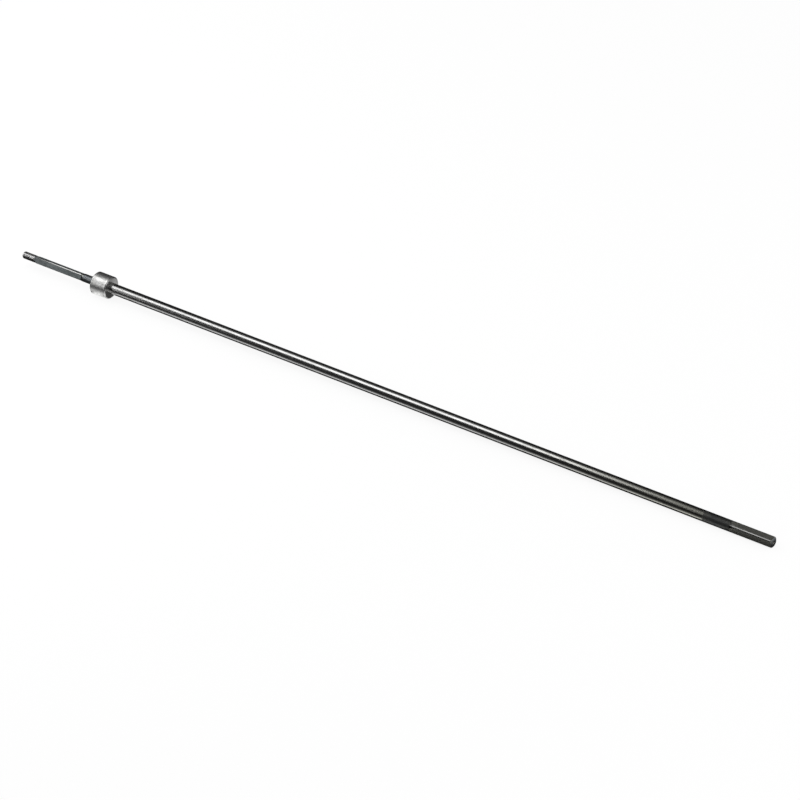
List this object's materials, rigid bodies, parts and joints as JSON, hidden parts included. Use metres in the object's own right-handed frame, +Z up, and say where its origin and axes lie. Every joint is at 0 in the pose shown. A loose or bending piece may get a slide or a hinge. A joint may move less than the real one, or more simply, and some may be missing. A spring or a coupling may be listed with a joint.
{
  "type": "drive shaft",
  "caption": "Long slim steel drive shaft with a pressed-on collar near one end, a threaded tip and a milled square drive at each end.",
  "frame": {"origin": "on the shaft's axis at the shoulder of the long shank, where the collar's inner end face seats", "axes": "+X along the axis towards the long shank's square drive; +Y and +Z square to the flats of that drive, +Z up"},
  "size_m": [0.96, 0.025, 0.025],
  "materials": {
    "shaft_steel": "ground and oiled dark steel, milled and heat-darkened at the ends",
    "collar_steel": "bright satin turned steel"
  },
  "bodies": {
    "root": {"shaft": "shaft_steel", "collar": "collar_steel"}
  },
  "joints": []
}
